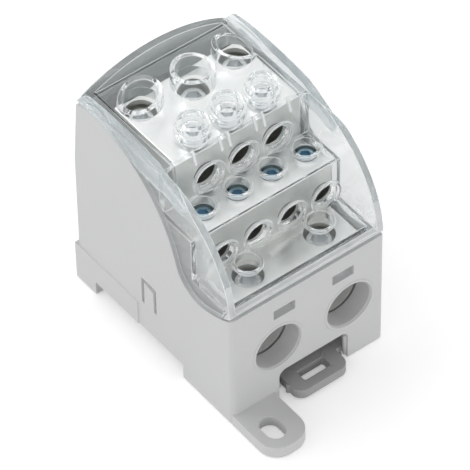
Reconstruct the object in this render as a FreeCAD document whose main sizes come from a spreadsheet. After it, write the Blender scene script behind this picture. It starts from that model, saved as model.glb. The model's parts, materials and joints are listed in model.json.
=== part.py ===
import FreeCAD, Part
import math
import os
import Sketcher
from FreeCAD import Placement, Rotation, Vector

# Single-pole power distribution block for a 35 mm rail.
# A grey moulded housing carries one stepped metal block. A clear stepped cover snaps over it.
# Millimetres. X runs along the front face, Y from front to back, Z up.
# The origin is the centre of the underside; the front face looks towards -Y.
# Heights are measured from the underside, depths from the front face.

doc = FreeCAD.newDocument("PowerDistributionBlock")
sheet = doc.addObject("Spreadsheet::Sheet", "Sizes")


class Size:
    """A length that knows its number and the sheet expression it comes from."""

    def __init__(self, value, text):
        self.value = float(value)
        self.text = text

    def _join(self, other, sign, value):
        text = other.text if isinstance(other, Size) else repr(other)
        return Size(value, f"({self.text} {sign} {text})")

    def __add__(self, other):
        return self._join(other, "+", self.value + number(other))

    def __sub__(self, other):
        return self._join(other, "-", self.value - number(other))

    def __mul__(self, other):
        return self._join(other, "*", self.value * number(other))

    def __truediv__(self, other):
        return self._join(other, "/", self.value / number(other))

    def __rmul__(self, other):
        return self * other

    def __neg__(self):
        return Size(-self.value, f"(0 - {self.text})")


def number(size):
    return size.value if isinstance(size, Size) else float(size)


def text_of(size):
    return size.text if isinstance(size, Size) else repr(float(size))


class Sizes:
    """Driving dimensions, one sheet cell and one attribute each."""

    def __init__(self):
        self.row = 1

    def add(self, alias, value, note):
        sheet.set(f"A{self.row}", note)
        sheet.set(f"B{self.row}", str(value))
        sheet.setAlias(f"B{self.row}", alias)
        setattr(self, alias, Size(value, f"Sizes.{alias}"))
        self.row += 1


S = Sizes()

# Housing
S.add("width", 48.0, "housing width")
S.add("length", 65.0, "housing length, front face to back")
S.add("side_wall", 2.0, "side wall")
S.add("front_wall", 2.5, "front wall")
S.add("back_wall", 3.0, "back wall")
S.add("floor_top", 10.0, "top of the floor")
S.add("front_height", 38.2, "top of the front face")
S.add("dip_depth", 13.0, "side wall edge: depth of its lowest point")
S.add("dip_height", 33.4, "side wall edge: height of its lowest point")
S.add("dip_radius", 30.0, "side wall edge: sag behind the front corner")
S.add("rise_depth", 22.0, "side wall edge: where the hollow turns into the hump")
S.add("rise_height", 40.0, "side wall edge: height of that turn")
S.add("rise_radius", 9.45, "side wall edge: hollow radius")
S.add("hump_depth", 56.0, "side wall edge: depth of the highest point")
S.add("hump_height", 66.4, "side wall edge: highest point")
S.add("hump_radius", 35.1, "side wall edge: hump radius")
S.add("shoulder_drop", 1.6, "fall of the edge from the hump to the back")
S.add("back_lean", 1.5, "back face leans in by this at the top")
S.add("foot_height", 12.7, "height of the rear foot")
S.add("foot_depth", 38.5, "front end of the rear foot's side band")
S.add("foot_band", 0.4, "side band stands proud by this")
S.add("waist_top", 23.4, "top of the recess above the rear foot")
S.add("waist_recess", 1.4, "recess above the rear foot")
S.add("edge_round", 1.6, "rounding of the upright corners")
S.add("back_edge_top", 60.5, "top of the back wall between the side walls")
S.add("rim_chamfer", 0.4, "bevel round the outlet sleeves")
S.add("clip_front", 31.0, "side clip pocket, from the front face")
S.add("clip_run", 6.0, "side clip pocket, front to back")
S.add("clip_bottom", 14.0, "side clip pocket, lower edge")
S.add("clip_top", 23.0, "side clip pocket, upper edge")
S.add("clip_depth", 1.0, "side clip pocket, depth")
S.add("clip_gap", 1.0, "clear strip beside the clip")

# Rail seat and latch
S.add("rail_front", 20.5, "front wall of the rail recess")
S.add("rail_gap", 36.0, "recess for a 35 mm rail")
S.add("rail_depth", 4.5, "depth of the rail recess")
S.add("rail_flange", 1.2, "room for the rail's flange above the noses")
S.add("nose_reach", 1.8, "reach of each nose under the rail")
S.add("nose_span", 24.0, "width of the fixed nose")
S.add("channel_span", 25.0, "latch channel width")
S.add("channel_height", 7.0, "latch channel height")
S.add("mouth_span", 21.7, "width of the latch mouth in the front face")
S.add("mouth_height", 9.7, "height of the latch mouth in the front face")
S.add("mouth_round", 2.2, "corner radius of the latch mouth")
S.add("guide_top", 2.1, "top of the guide lips")
S.add("slide_gap", 0.3, "clearance round the latch")
S.add("latch_bottom", 0.5, "underside of the latch")
S.add("latch_thickness", 3.0, "latch thickness")
S.add("flange_front", 6.8, "front of the latch flanges")
S.add("flange_back", 18.0, "back of the latch flanges")
S.add("nose_edge", 0.6, "upright edge of each nose")
S.add("nose_ramp", 1.8, "length of the nose ramp")
S.add("tab_span", 16.5, "width of the pull tab")
S.add("tab_reach", 4.5, "tab stands out from the front face")
S.add("tab_round", 3.0, "corner radius of the tab")
S.add("slot_span", 8.2, "screwdriver slot, along the front")
S.add("slot_depth", 3.4, "screwdriver slot, front to back")
S.add("slot_front", -1.6, "front edge of the slot from the front face")
S.add("nub_size", 1.2, "detent nubs beside the tab")

# Mounting ears
S.add("ear_width", 13.0, "ear width")
S.add("ear_reach", 16.0, "ear length from the housing")
S.add("ear_thickness", 3.6, "ear thickness")
S.add("ear_round", 5.5, "outer corners of the ear")
S.add("ear_slot_radius", 2.7, "half width of the ear's slot, for an M5 screw")
S.add("ear_slot_run", 2.4, "distance between the slot's end centres")
S.add("ear_slot_place", 8.8, "slot centre from the housing")
S.add("ear_start", 0.5, "ear edge starts this share of its rounding inside the corner")

# Conductors and clamping screws, counted from the front
S.add("core_shift", 1.6, "the block sits this far to the right of the middle")
S.add("outlet_pitch", 22.4, "front row: two large outlets")
S.add("outlet_radius", 6.4, "front row: bore")
S.add("outlet_height", 19.5, "front row: axis height")
S.add("outlet_screw_depth", 12.0, "front row: screw axis")
S.add("outlet_screw_radius", 4.0, "front row: screw")
S.add("outlet_screw_top", 33.2, "front row: top of the raised screws")
S.add("sleeve_radius", 6.8, "moulded sleeve bore in the front face")
S.add("sleeve_wall", 1.8, "wall of the moulded sleeves")
S.add("row_pitch", 10.6, "pitch of the middle and upper rows")
S.add("middle_radius", 3.1, "middle row: bore")
S.add("middle_height", 43.0, "middle row: axis height")
S.add("middle_screw_depth", 23.4, "middle row: screw axis")
S.add("middle_screw_radius", 3.0, "middle row: screw")
S.add("middle_screw_top", 51.0, "middle row: top of the raised screws")
S.add("upper_radius", 3.4, "upper row: bore")
S.add("upper_height", 57.0, "upper row: axis height")
S.add("upper_screw_depth", 33.9, "upper row: screw axis")
S.add("upper_screw_radius", 3.0, "upper row: screw")
S.add("upper_screw_top", 68.0, "upper row: top of the raised screws")
S.add("input_pitch", 14.5, "back row: three inputs")
S.add("input_screw_depth", 49.8, "back row: screw axis")
S.add("input_middle_depth", 47.6, "back row: axis of the middle screw")
S.add("input_screw_radius", 4.0, "back row: screw")
S.add("input_screw_top", 62.6, "back row: top of the raised screws")
S.add("entry_span", 31.0, "wide entry for a flat bar: width")
S.add("entry_height", 10.0, "wide entry: height")
S.add("entry_bottom", 40.0, "wide entry: floor")
S.add("entry_round", 1.5, "wide entry: corner radius")
S.add("entry_depth", 42.5, "wide entry: front end")
S.add("sleeve_gap", 0.4, "moulded openings are wider than the metal ones")
S.add("plate_thickness", 2.0, "pressure plate")
S.add("plate_gap", 1.7, "side clearance of the pressure plate")
S.add("bore_margin", 2.6, "conductor bores run on past the screw's edge")
S.add("thread_gap", 0.05, "running clearance of a screw in its thread")
S.add("tip_gap", 0.3, "raised screw tips stay clear of the bore")
S.add("socket_share", 0.56, "hexagon socket, share of the screw's radius")
S.add("socket_depth", 3.0, "depth of the sockets")
S.add("screw_chamfer", 0.5, "chamfer of the screw ends")

# Metal block
S.add("block_span", 39.0, "block width")
S.add("block_front", 6.0, "front face of the block")
S.add("block_back", 54.5, "back face of the block")
S.add("block_bottom", 10.3, "underside of the front part")
S.add("block_heel", 23.0, "back of the deep front part")
S.add("block_rear_bottom", 34.0, "underside of the rear part")
S.add("low_step", 35.0, "top of the front step")
S.add("middle_face", 17.5, "face of the middle step")
S.add("middle_step", 51.4, "top of the middle step")
S.add("upper_face", 29.9, "face of the upper step")
S.add("upper_step", 64.6, "top of the block")
S.add("block_chamfer", 0.5, "edge chamfer of the block")

# Fixing of the block in the housing
S.add("fixing_pitch", 22.0, "distance between the two fixing screws")
S.add("fixing_depth", 40.0, "fixing screws, from the front face")
S.add("fixing_radius", 2.5, "fixing screw")
S.add("fixing_head", 4.5, "fixing screw's head radius")
S.add("fixing_head_height", 2.8, "fixing screw's head")
S.add("fixing_seat", 27.0, "seat of the fixing screw's head")
S.add("fixing_grip", 4.6, "thread in the block")
S.add("pillar_wall", 1.6, "wall of the fixing pillars")

# Clear cover
S.add("cover_wall", 1.8, "cover wall")
S.add("seam", 0.3, "gap between cover and housing")
S.add("skirt", 5.0, "skirt inside the housing")
S.add("crown_height", 72.3, "crown of the arched top")
S.add("arch_drop", 7.0, "fall of the arch from the crown to the sides")
S.add("arch_radius", 44.6, "radius of the arch")
S.add("nose_depth", 26.0, "cheek curve: where the front arc ends")
S.add("nose_height", 67.2, "cheek curve: height there")
S.add("nose_radius", 30.3, "cheek curve: front arc")
S.add("crown_depth", 44.0, "start of the level crown")
S.add("cover_back", 61.6, "back face of the cover's upper part")
S.add("shoulder_round", 3.0, "shoulders start this far below the arch's foot")
S.add("shoulder_inset", 2.4, "shoulders end this far in from the side")
S.add("shoulder_lift", 1.5, "rise of the arch over that inset")
S.add("shoulder_curve", 5.2, "radius of the shoulders")
S.add("tread_low", 39.8, "lowest tread")
S.add("lip_depth", 2.0, "front lip")
S.add("riser_low", 15.3, "lower riser")
S.add("tread_middle", 53.6, "middle tread")
S.add("riser_high", 27.6, "upper riser")
S.add("riser_lean", 1.3, "set-back of the platform's edge")
S.add("lean_height", 3.4, "height of the leaning strip under that edge")
S.add("platform", 67.5, "platform")
S.add("roof", 65.4, "underside of the platform")
S.add("platform_back", 59.4, "back end of the platform")
S.add("lip_front", 0.7, "front of the lip")
S.add("lip_drop", 0.3, "lip lies below the lowest tread")
S.add("valley_inset", 4.2, "platform's side margins")
S.add("tube_wall", 1.3, "wall of the large screwdriver tubes")
S.add("input_access", 4.4, "large screwdriver tubes: bore")
S.add("upper_access", 2.6, "upper row: bore over the screws")
S.add("upper_boss", 4.0, "upper row: boss radius")
S.add("upper_boss_top", 71.8, "upper row: top of the small tubes")
S.add("wide_boss_top", 69.6, "upper row: top of the wide bosses")
S.add("wide_boss_wall", 1.3, "upper row: wall of the wide bosses")
S.add("upper_chamber", 3.4, "upper row: chamber round the raised screw")
S.add("chamber_top", 68.3, "upper row: roof of that chamber")
S.add("middle_access", 3.0, "middle row: access hole")
S.add("outlet_access", 3.1, "front row: access hole")
S.add("collar_wall", 0.9, "collars round the access holes")
S.add("collar_height", 0.5, "height of those collars")
S.add("funnel_reach", 0.5, "nozzles stand out from the riser")
S.add("middle_nozzle", 4.6, "middle row: nozzle radius")
S.add("upper_nozzle", 5.0, "upper row: nozzle radius")
S.add("nozzle_gap", 0.1, "nozzle bores are wider than the metal ones")
S.add("funnel_flare", 0.8, "flare of the nozzle mouths")
S.add("hook_pitch", 18.4, "distance between the two snap hooks")
S.add("hook_span", 6.0, "width of a hook")
S.add("window_span", 6.6, "width of the hook windows")
S.add("window_bottom", 30.1, "lower edge of the windows")
S.add("window_height", 3.1, "height of the windows")
S.add("hook_nose", 1.0, "hook nose reaches into the window")
S.add("hook_height", 2.6, "hook height above the window edge")
S.add("hook_flat", 0.8, "upright face of the hook")

doc.recompute()

zero = Size(0.0, "0")
hair = 0.0005
front = -(S.length / 2)
back = S.length / 2
half = S.width / 2
core = S.core_shift


def depth(size):
    """Y of a depth behind the front face."""
    return front + size


def row(count, pitch):
    """X of each of a row's places, from left to right."""
    return [core + pitch * (index - (count - 1) / 2) for index in range(count)]


outlets = row(2, S.outlet_pitch)
middles = row(4, S.row_pitch)
uppers = row(3, S.row_pitch)
inputs = row(3, S.input_pitch)
fixings = row(2, S.fixing_pitch)
hooks = row(2, S.hook_pitch)


# Sketching helpers

def new_body(name):
    body = doc.addObject("PartDesign::Body", name)
    body.Label = name
    body.Placement = Placement(Vector(0, 0, 0), Rotation())
    return body


def origin_plane(body, role):
    return next(item for item in body.Origin.OriginFeatures if item.Role == role)


PLANES = {"X": ("YZ_Plane", 1), "Y": ("XZ_Plane", -1), "Z": ("XY_Plane", 1)}


def sketch_at(body, axis, place):
    """A sketch across the given axis at the given place on it."""
    role, sign = PLANES[axis]
    sketch = body.newObject("Sketcher::SketchObject", f"{body.Name}Sketch")
    sketch.AttachmentSupport = (origin_plane(body, role), [""])
    sketch.MapMode = "FlatFace"
    offset = place if sign > 0 else -place
    sketch.AttachmentOffset = Placement(Vector(0, 0, offset.value), Rotation())
    sketch.setExpression(".AttachmentOffset.Base.z", offset.text)
    return sketch


def bind(sketch, index, name, size):
    sketch.renameConstraint(index, name)
    sketch.setExpression(f"Constraints.{name}", text_of(size))


def pin_point(sketch, geometry, vertex, point, name):
    """Hold one vertex at the given place, measured from the sketch's origin."""
    across, up = point
    index = sketch.addConstraint(
        Sketcher.Constraint("DistanceX", -1, 1, geometry, vertex, number(across)))
    bind(sketch, index, f"{name}x", across)
    index = sketch.addConstraint(
        Sketcher.Constraint("DistanceY", -1, 1, geometry, vertex, number(up)))
    bind(sketch, index, f"{name}y", up)


def arc_between(start, end, radius, turn):
    """Arc of the given radius from start to end; turn is 1 for left-hand, -1 for right-hand."""
    first = Vector(number(start[0]), number(start[1]), 0)
    last = Vector(number(end[0]), number(end[1]), 0)
    chord = last - first
    middle = (first + last) * 0.5
    reach = math.sqrt(max(number(radius) ** 2 - (chord.Length / 2) ** 2, 0.0))
    side = Vector(-chord.y, chord.x, 0).normalize() * turn
    centre = middle + side * reach
    crest = centre - side * number(radius)
    return Part.Arc(first, crest, last)


class Outline:
    """A closed outline: a start point, then lines and arcs to further points."""

    def __init__(self, across, up):
        self.start = (across, up)
        self.steps = []

    def line(self, across, up):
        self.steps.append(((across, up), None, 0))
        return self

    def arc(self, across, up, radius, turn):
        self.steps.append(((across, up), radius, turn))
        return self

    def draw(self, sketch, tag):
        places = [self.start] + [step[0] for step in self.steps]
        geometry = []
        ends = []
        steps = list(self.steps)
        if math.dist([number(size) for size in places[-1]],
                     [number(size) for size in places[0]]) > 1e-6:
            steps.append((self.start, None, 0))
        for index, (point, radius, turn) in enumerate(steps):
            begin = places[index]
            if radius is None:
                piece = Part.LineSegment(Vector(number(begin[0]), number(begin[1]), 0),
                                         Vector(number(point[0]), number(point[1]), 0))
                ends.append((1, 2))
            else:
                piece = arc_between(begin, point, radius, turn)
                ends.append((1, 2) if turn > 0 else (2, 1))
            geometry.append(sketch.addGeometry(piece, False))
        for index, item in enumerate(geometry):
            following = (index + 1) % len(geometry)
            sketch.addConstraint(Sketcher.Constraint(
                "Coincident", item, ends[index][1], geometry[following], ends[following][0]))
            pin_point(sketch, item, ends[index][0], places[index], f"{tag}p{index}")
            radius = steps[index][1]
            if radius is not None:
                rule = sketch.addConstraint(
                    Sketcher.Constraint("Radius", item, number(radius)))
                bind(sketch, rule, f"{tag}r{index}", radius)


class Circle:
    def __init__(self, across, up, radius):
        self.centre = (across, up)
        self.radius = radius

    def draw(self, sketch, tag):
        centre = Vector(number(self.centre[0]), number(self.centre[1]), 0)
        item = sketch.addGeometry(Part.Circle(centre, Vector(0, 0, 1), number(self.radius)), False)
        pin_point(sketch, item, 3, self.centre, f"{tag}c")
        rule = sketch.addConstraint(Sketcher.Constraint("Radius", item, number(self.radius)))
        bind(sketch, rule, f"{tag}r", self.radius)


def box(x0, y0, x1, y1):
    return Outline(x0, y0).line(x1, y0).line(x1, y1).line(x0, y1)


def round_box(x0, y0, x1, y1, radius):
    outline = Outline(x0 + radius, y0).line(x1 - radius, y0).arc(x1, y0 + radius, radius, 1)
    outline.line(x1, y1 - radius).arc(x1 - radius, y1, radius, 1)
    outline.line(x0 + radius, y1).arc(x0, y1 - radius, radius, 1)
    return outline.line(x0, y0 + radius).arc(x0 + radius, y0, radius, 1)


def hexagon(x, y, radius):
    corners = [(x + radius * math.cos(math.radians(60 * index)),
                y + radius * math.sin(math.radians(60 * index))) for index in range(6)]
    outline = Outline(*corners[0])
    for corner in corners[1:]:
        outline.line(*corner)
    return outline


def shape_volume(body):
    return body.Shape.Volume if body.Tip and not body.Shape.isNull() else 0.0


def feature(body, kind, axis, low, high, outlines):
    """Pad or pocket the outlines along an axis between two places on it."""
    before = shape_volume(body)
    sign = PLANES[axis][1]
    pad = kind == "Pad"
    place = low if pad == (sign > 0) else high
    sketch = sketch_at(body, axis, place)
    for index, outline in enumerate(outlines):
        outline.draw(sketch, f"s{index}")
    item = body.newObject(f"PartDesign::{kind}", f"{body.Name}{kind}")
    item.Profile = sketch
    item.Length = (high - low).value
    item.setExpression("Length", (high - low).text)
    sketch.Visibility = False
    doc.recompute()
    after = shape_volume(body)
    if (after > before) != pad:
        raise ValueError(f"{item.Name} changed nothing")
    return item


def add(body, axis, low, high, *outlines):
    return feature(body, "Pad", axis, low, high, outlines)


def cut(body, axis, low, high, *outlines):
    return feature(body, "Pocket", axis, low, high, outlines)


def dress(body, kind, size, chosen):
    """Fillet or chamfer the edges that chosen() picks by their place."""
    names = [f"Edge{index + 1}" for index, edge in enumerate(body.Shape.Edges) if chosen(edge)]
    if not names:
        raise ValueError(f"{body.Name}: no edge for its {kind}")
    base = body.Tip
    item = body.newObject(f"PartDesign::{kind}", f"{body.Name}{kind}")
    item.Base = (base, names)
    field = "Radius" if kind == "Fillet" else "Size"
    setattr(item, field, number(size))
    item.setExpression(field, text_of(size))
    doc.recompute()
    if item.Shape.isNull() or not item.isValid():
        raise ValueError(f"{item.Name} did not build")
    return item


def upright(edge):
    tangent = edge.tangentAt(edge.FirstParameter)
    return edge.Curve.TypeId == "Part::GeomLine" and abs(tangent.z) > 0.99


def near(value, size, slack=0.01):
    return abs(value - number(size)) < slack


def side_edge(outline, lift):
    """Top edge of the housing's side walls, from front to back, raised by lift."""
    outline.arc(depth(S.dip_depth), S.dip_height + lift, S.dip_radius, 1)
    outline.arc(depth(S.rise_depth), S.rise_height + lift, S.rise_radius, 1)
    return outline.arc(depth(S.hump_depth), S.hump_height + lift, S.hump_radius, -1)


# Grey housing

def housing_outline():
    outline = Outline(front, zero).line(front, S.front_height)
    side_edge(outline, zero)
    outline.line(back - S.back_lean, S.hump_height - S.shoulder_drop)
    outline.line(back - S.waist_recess, S.waist_top).line(back - S.waist_recess, S.foot_height)
    outline.line(back, S.foot_height).line(back, zero)
    rail_end = S.rail_front + S.rail_gap
    outline.line(depth(rail_end), zero).line(depth(rail_end), S.rail_depth)
    return outline.line(depth(S.rail_front), S.rail_depth).line(depth(S.rail_front), zero)


def make_housing():
    body = new_body("base_housing")
    add(body, "X", -half, half, housing_outline())
    dress(body, "Fillet", S.edge_round, lambda edge: upright(edge) and (
        near(edge.CenterOfMass.y, front) or near(edge.CenterOfMass.y, back)))
    inner = half - S.side_wall
    cut(body, "Z", S.floor_top, S.crown_height,
        box(-inner, depth(S.front_wall), inner, back - S.back_wall))
    cut(body, "Y", back - S.back_wall, back + S.seam,
        box(-inner, S.back_edge_top, inner, S.crown_height))

    # Foot bands on both sides, and mounting ears at two opposite corners
    rail_end = depth(S.rail_front + S.rail_gap)
    band = Outline(depth(S.foot_depth), S.rail_depth).line(rail_end, S.rail_depth)
    band.line(rail_end, zero).line(back, zero).line(back, S.foot_height)
    band.line(depth(S.foot_depth), S.foot_height)
    add(body, "X", half - S.edge_round, half + S.foot_band, band)
    add(body, "X", -half - S.foot_band, -half + S.edge_round, band)
    reach = S.ear_reach
    add(body, "Z", zero, S.ear_thickness, ear_outline(-1), ear_outline(1))
    side = half - S.ear_round
    run = S.ear_slot_run / 2
    for sign, middle in ((-1, front - S.ear_slot_place), (1, back + S.ear_slot_place)):
        across = side * sign
        slot = Outline(across - S.ear_slot_radius, middle - run)
        slot.arc(across + S.ear_slot_radius, middle - run, S.ear_slot_radius + hair, 1)
        slot.line(across + S.ear_slot_radius, middle + run)
        slot.arc(across - S.ear_slot_radius, middle + run, S.ear_slot_radius + hair, 1)
        cut(body, "Z", zero - S.seam, S.ear_thickness + S.seam, slot)

    # Sleeves round the two large outlets
    face = depth(S.block_front) - S.seam
    add(body, "Y", depth(S.front_wall), face,
        *[Circle(x, S.outlet_height, S.sleeve_radius + S.sleeve_wall) for x in outlets])
    cut(body, "Y", front - S.seam, face + S.seam / 2,
        *[Circle(x, S.outlet_height, S.sleeve_radius) for x in outlets])
    dress(body, "Chamfer", S.rim_chamfer, lambda edge: near(edge.CenterOfMass.y, front)
          and edge.Curve.TypeId == "Part::GeomCircle"
          and near(edge.Curve.Radius, S.sleeve_radius))

    # Windows for the cover's hooks
    for x in hooks:
        cut(body, "Y", front - S.seam, depth(S.front_wall) + S.seam,
            box(x - S.window_span / 2, S.window_bottom,
                x + S.window_span / 2, S.window_bottom + S.window_height))

    # Wide opening in the back wall, with a collar that meets the metal block
    entry = S.entry_span / 2 + S.sleeve_gap
    low = S.entry_bottom - S.sleeve_gap
    high = S.entry_bottom + S.entry_height + S.sleeve_gap
    wall = S.sleeve_wall
    add(body, "Y", depth(S.block_back) + S.seam, back - S.back_wall,
        round_box(core - entry - wall, low - wall, core + entry + wall, high + wall,
                  S.entry_round + wall))
    cut(body, "Y", depth(S.block_back), back + S.seam,
        round_box(core - entry, low, core + entry, high, S.entry_round))

    # Latch channel: mouth in the front wall, wider channel behind it, lips below
    mouth = S.mouth_span / 2
    opening = Outline(core - mouth, zero - S.seam).line(core + mouth, zero - S.seam)
    opening.line(core + mouth, S.mouth_height - S.mouth_round)
    opening.arc(core + mouth - S.mouth_round, S.mouth_height, S.mouth_round, 1)
    opening.line(core - mouth + S.mouth_round, S.mouth_height)
    opening.arc(core - mouth, S.mouth_height - S.mouth_round, S.mouth_round, 1)
    cut(body, "Y", front - S.seam, depth(S.front_wall), opening)
    channel = S.channel_span / 2
    throat = S.tab_span / 2 + S.slide_gap
    tee = Outline(core - throat, zero - S.seam).line(core + throat, zero - S.seam)
    tee.line(core + throat, S.guide_top).line(core + channel, S.guide_top)
    tee.line(core + channel, S.channel_height).line(core - channel, S.channel_height)
    tee.line(core - channel, S.guide_top).line(core - throat, S.guide_top)
    cut(body, "Y", depth(S.front_wall), depth(S.rail_front) + S.seam, tee)
    nub = S.nub_size / 2
    for sign in (-1, 1):
        post = core + mouth * sign
        add(body, "Z", S.latch_bottom, S.mouth_height - S.mouth_round,
            Circle(post, front + S.nub_size, nub))

    # Fixed rail nose at the back of the recess
    nose = S.nose_span / 2
    wedge = Outline(rail_end - S.nose_reach, S.rail_depth - S.rail_flange)
    wedge.line(rail_end - S.nose_reach, S.rail_depth - S.rail_flange - S.nose_edge)
    wedge.line(rail_end, zero).line(rail_end + S.seam, zero)
    wedge.line(rail_end + S.seam, S.rail_depth - S.rail_flange)
    add(body, "X", core - nose, core + nose, wedge)

    # Pillars for the block, bored from below for its fixing screws
    places = [(x, depth(S.fixing_depth)) for x in fixings]
    add(body, "Z", S.floor_top, S.block_rear_bottom,
        *[Circle(x, y, S.fixing_head + S.seam + S.pillar_wall) for x, y in places])
    cut(body, "Z", S.rail_depth - S.seam, S.fixing_seat,
        *[Circle(x, y, S.fixing_head + S.seam) for x, y in places])
    cut(body, "Z", S.fixing_seat - S.seam, S.block_rear_bottom + S.seam,
        *[Circle(x, y, S.fixing_radius + S.seam) for x, y in places])

    # Recessed clip pocket in both side walls
    for sign in (-1, 1):
        low = half - S.clip_depth if sign > 0 else -half - S.seam
        high = half + S.seam if sign > 0 else -half + S.clip_depth
        cut(body, "X", low, high,
            box(depth(S.clip_front), S.clip_bottom, depth(S.clip_front + S.clip_run), S.clip_top))
        low = half - S.clip_depth - S.seam if sign > 0 else -half
        high = half if sign > 0 else -half + S.clip_depth + S.seam
        hook = Outline(depth(S.clip_front + S.clip_gap), S.clip_bottom - S.seam)
        hook.line(depth(S.clip_front + S.clip_run - S.clip_gap), S.clip_bottom - S.seam)
        hook.line(depth(S.clip_front + S.clip_run - S.clip_gap), S.clip_top - S.clip_gap)
        hook.line(depth(S.clip_front + S.clip_gap), S.clip_top - S.clip_gap * 2)
        add(body, "X", low, high, hook)
    return body


def ear_outline(sign):
    """Mounting ear: -1 is the one at the front left, 1 the one at the back right."""
    outer = half * sign
    inner = (half - S.ear_width) * sign
    base = (back - S.edge_round * 2) if sign > 0 else (front + S.edge_round * 2)
    tip = (back + S.ear_reach) if sign > 0 else (front - S.ear_reach)
    bend = S.ear_round * sign
    outline = Outline(inner, base).line(inner, tip - bend)
    outline.arc(inner + bend, tip, S.ear_round, -1)
    outline.line(outer - bend, tip).arc(outer, tip - bend, S.ear_round, -1)
    return outline.line(outer, base + bend * S.ear_start)


# Stepped metal block

def make_block():
    body = new_body("terminal_block")
    span = S.block_span / 2
    outline = Outline(depth(S.block_front), S.block_bottom)
    outline.line(depth(S.block_front), S.low_step).line(depth(S.middle_face), S.low_step)
    outline.line(depth(S.middle_face), S.middle_step).line(depth(S.upper_face), S.middle_step)
    outline.line(depth(S.upper_face), S.upper_step).line(depth(S.block_back), S.upper_step)
    outline.line(depth(S.block_back), S.block_rear_bottom)
    outline.line(depth(S.block_heel), S.block_rear_bottom)
    outline.line(depth(S.block_heel), S.block_bottom)
    add(body, "X", core - span, core + span, outline)
    dress(body, "Chamfer", S.block_chamfer, lambda edge: near(
        abs(edge.CenterOfMass.x - core.value), span))

    rows = (
        (outlets, S.outlet_radius, S.outlet_height, S.block_front,
         S.outlet_screw_depth, S.outlet_screw_radius, S.low_step),
        (middles, S.middle_radius, S.middle_height, S.middle_face,
         S.middle_screw_depth, S.middle_screw_radius, S.middle_step),
        (uppers, S.upper_radius, S.upper_height, S.upper_face,
         S.upper_screw_depth, S.upper_screw_radius, S.upper_step),
    )
    for places, bore, height, face, screw_depth, screw, top in rows:
        end = depth(screw_depth + screw + S.bore_margin)
        cut(body, "Y", depth(face) - S.seam, end, *[Circle(x, height, bore) for x in places])
        cut(body, "Z", height, top + S.seam,
            *[Circle(x, depth(screw_depth), screw + S.thread_gap) for x in places])
    for index, x in enumerate(inputs):
        place = S.input_middle_depth if index == 1 else S.input_screw_depth
        cut(body, "Z", S.entry_bottom, S.upper_step + S.seam,
            Circle(x, depth(place), S.input_screw_radius + S.thread_gap))
    entry = S.entry_span / 2
    cut(body, "Y", depth(S.entry_depth), depth(S.block_back) + S.seam,
        round_box(core - entry, S.entry_bottom, core + entry,
                  S.entry_bottom + S.entry_height, S.entry_round))
    cut(body, "Z", S.block_rear_bottom - S.seam, S.block_rear_bottom + S.fixing_grip,
        *[Circle(x, depth(S.fixing_depth), S.fixing_radius + S.thread_gap) for x in fixings])
    return body


# Socket screws

def make_screw(name, x, place, radius, top, tip):
    body = new_body(name)
    add(body, "Z", tip, top, Circle(x, depth(place), radius))
    dress(body, "Chamfer", S.screw_chamfer, lambda edge: edge.Curve.TypeId == "Part::GeomCircle")
    cut(body, "Z", top - S.socket_depth, top + S.seam,
        hexagon(x, depth(place), radius * S.socket_share))
    return body


def make_screws():
    outlet_tip = S.outlet_height + S.outlet_radius + S.tip_gap
    for side, x in zip(("left", "right"), outlets):
        make_screw(f"front_clamp_screw_{side}", x, S.outlet_screw_depth,
                   S.outlet_screw_radius, S.outlet_screw_top, outlet_tip)
    for index, x in enumerate(middles):
        make_screw(f"middle_clamp_screw_{index + 1}", x, S.middle_screw_depth,
                   S.middle_screw_radius, S.middle_screw_top,
                   S.middle_height + S.middle_radius + S.tip_gap)
    for index, x in enumerate(uppers):
        make_screw(f"upper_clamp_screw_{index + 1}", x, S.upper_screw_depth,
                   S.upper_screw_radius, S.upper_screw_top,
                   S.upper_height + S.upper_radius + S.tip_gap)
    for index, (side, x) in enumerate(zip(("left", "middle", "right"), inputs)):
        place = S.input_middle_depth if index == 1 else S.input_screw_depth
        make_screw(f"input_clamp_screw_{side}", x, place, S.input_screw_radius,
                   S.input_screw_top, S.entry_bottom + S.entry_height + S.tip_gap)
    for side, x in zip(("left", "right"), fixings):
        body = new_body(f"block_fixing_screw_{side}")
        place = depth(S.fixing_depth)
        add(body, "Z", S.fixing_seat - S.fixing_head_height, S.fixing_seat,
            Circle(x, place, S.fixing_head))
        add(body, "Z", S.fixing_seat, S.block_rear_bottom + S.fixing_grip - S.tip_gap,
            Circle(x, place, S.fixing_radius))
        cut(body, "Z", S.fixing_seat - S.fixing_head_height - S.seam,
            S.fixing_seat - S.fixing_head_height / 2,
            hexagon(x, place, S.fixing_head * S.socket_share))


def make_plate():
    """Loose pressure plate on the floor of the wide entry."""
    body = new_body("input_pressure_plate")
    reach = S.entry_span / 2 - S.plate_gap
    add(body, "Z", S.entry_bottom, S.entry_bottom + S.plate_thickness,
        round_box(core - reach, depth(S.entry_depth) + S.seam, core + reach,
                  depth(S.block_back) - S.seam, S.block_chamfer * 2))
    return body


# Sliding rail latch

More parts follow.
